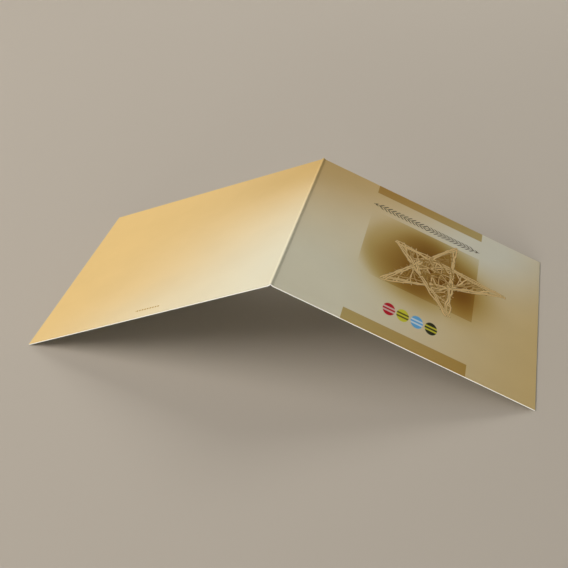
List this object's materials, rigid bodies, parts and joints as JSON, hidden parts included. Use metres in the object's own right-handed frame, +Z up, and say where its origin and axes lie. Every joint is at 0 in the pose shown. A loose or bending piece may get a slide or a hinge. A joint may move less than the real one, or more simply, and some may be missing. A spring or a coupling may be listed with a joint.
{
  "type": "greeting card",
  "caption": "Square printed greeting card, a single sheet of board folded once and standing open like a tent, with a straw star ornament printed on its front.",
  "frame": {"origin": "on the floor, under the middle of the fold, which is the bottom centre of the bounding box", "axes": "+X across the two covers, with the printed front cover at +X and the back cover at -X; +Y along the fold, towards the top of the printed front; +Z up, the fold is the ridge on top"},
  "size_m": [0.273, 0.148, 0.0576],
  "materials": {
    "card_board": "printed on the outside, smooth matt to satin coated board, plain off-white inside and on the cut edges"
  },
  "bodies": {
    "root": {"card_sheet": "card_board"}
  },
  "joints": []
}
